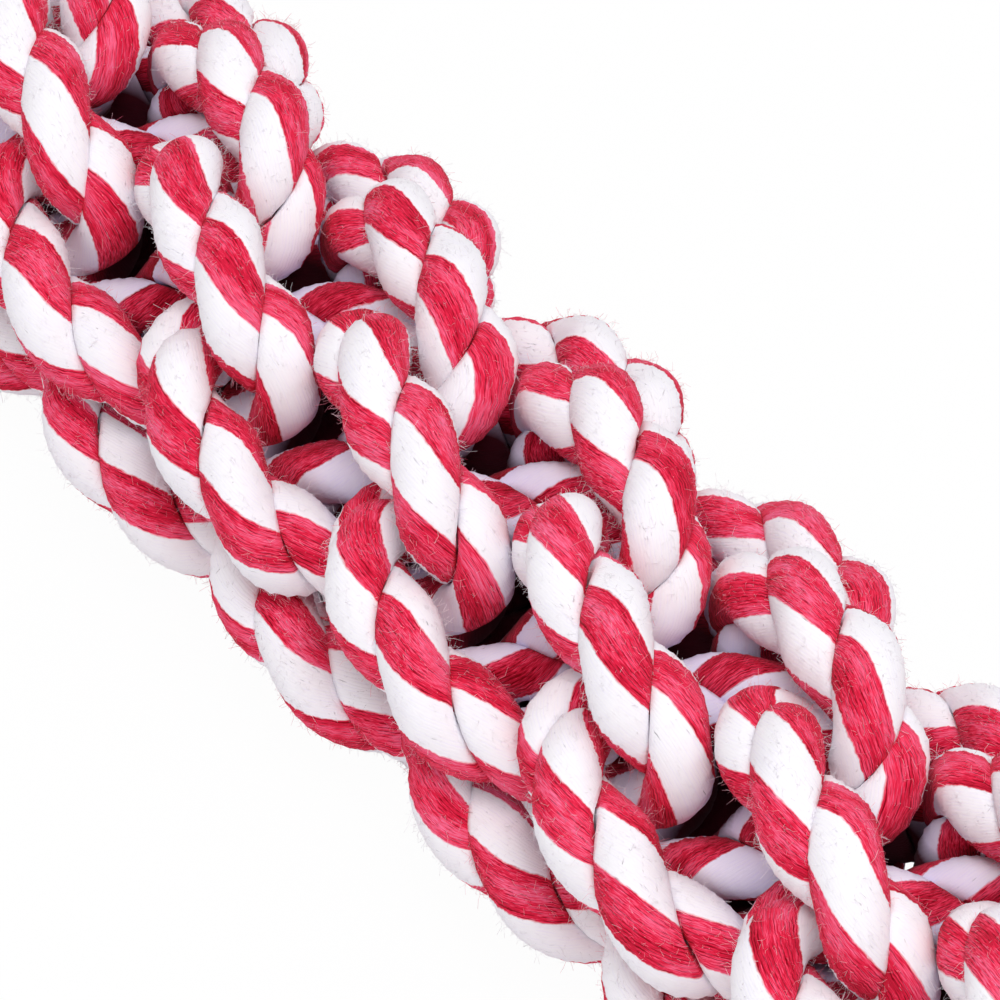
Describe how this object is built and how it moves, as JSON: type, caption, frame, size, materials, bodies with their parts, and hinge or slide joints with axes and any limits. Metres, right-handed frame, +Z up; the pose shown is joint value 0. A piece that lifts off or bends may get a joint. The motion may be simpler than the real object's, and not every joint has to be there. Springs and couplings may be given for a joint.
{
  "type": "rope dog toy",
  "caption": "Straight bar braided from red and white twisted cotton ropes, bound with cord at each end and frayed into loose tails, for a dog to tug and chew.",
  "frame": {"origin": "under the middle of the bar, on the surface that it rests on", "axes": "+X along the bar towards its right end, +Z up"},
  "size_m": [0.3366, 0.0398, 0.0388],
  "materials": {
    "two_colour_rope": "soft twisted cotton rope, red and white yarns in equal shares, matt and slightly hairy",
    "binding_cord": "white twisted cotton cord, matt",
    "frayed_yarn": "unlaid red and white cotton yarns, matt and hairy"
  },
  "bodies": {
    "braid": {"rope_1": "two_colour_rope", "rope_2": "two_colour_rope", "rope_3": "two_colour_rope", "rope_4": "two_colour_rope", "left_whipping": "binding_cord", "right_whipping": "binding_cord"},
    "rope_1_right_tail": {"rope_1_right_tail": "frayed_yarn"},
    "rope_2_right_tail": {"rope_2_right_tail": "frayed_yarn"},
    "rope_3_right_tail": {"rope_3_right_tail": "frayed_yarn"},
    "rope_4_right_tail": {"rope_4_right_tail": "frayed_yarn"},
    "rope_1_left_tail": {"rope_1_left_tail": "frayed_yarn"},
    "rope_2_left_tail": {"rope_2_left_tail": "frayed_yarn"},
    "rope_3_left_tail": {"rope_3_left_tail": "frayed_yarn"},
    "rope_4_left_tail": {"rope_4_left_tail": "frayed_yarn"}
  },
  "joints": [
    {"name": "rope_1_right_tail_swing", "type": "hinge", "parent": "braid", "child": "rope_1_right_tail", "pos_m": [0.12599, 0.00831, 0.02319], "axis": [0, 0, 1], "range_deg": [0, 60]},
    {"name": "rope_2_right_tail_swing", "type": "hinge", "parent": "braid", "child": "rope_2_right_tail", "pos_m": [0.12599, -0.00831, 0.02319], "axis": [0, 0, -1], "range_deg": [0, 60]},
    {"name": "rope_3_right_tail_swing", "type": "hinge", "parent": "braid", "child": "rope_3_right_tail", "pos_m": [0.12599, -0.00831, 0.01473], "axis": [0, 0, -1], "range_deg": [0, 60]},
    {"name": "rope_4_right_tail_swing", "type": "hinge", "parent": "braid", "child": "rope_4_right_tail", "pos_m": [0.12599, 0.00831, 0.01473], "axis": [0, 0, 1], "range_deg": [0, 60]},
    {"name": "rope_1_left_tail_swing", "type": "hinge", "parent": "braid", "child": "rope_1_left_tail", "pos_m": [-0.12599, -0.00831, 0.02319], "axis": [0, 0, 1], "range_deg": [0, 60]},
    {"name": "rope_2_left_tail_swing", "type": "hinge", "parent": "braid", "child": "rope_2_left_tail", "pos_m": [-0.12599, -0.00831, 0.01473], "axis": [0, 0, 1], "range_deg": [0, 60]},
    {"name": "rope_3_left_tail_swing", "type": "hinge", "parent": "braid", "child": "rope_3_left_tail", "pos_m": [-0.12599, 0.00831, 0.01473], "axis": [0, 0, -1], "range_deg": [0, 60]},
    {"name": "rope_4_left_tail_swing", "type": "hinge", "parent": "braid", "child": "rope_4_left_tail", "pos_m": [-0.12599, 0.00831, 0.02319], "axis": [0, 0, -1], "range_deg": [0, 60]}
  ]
}
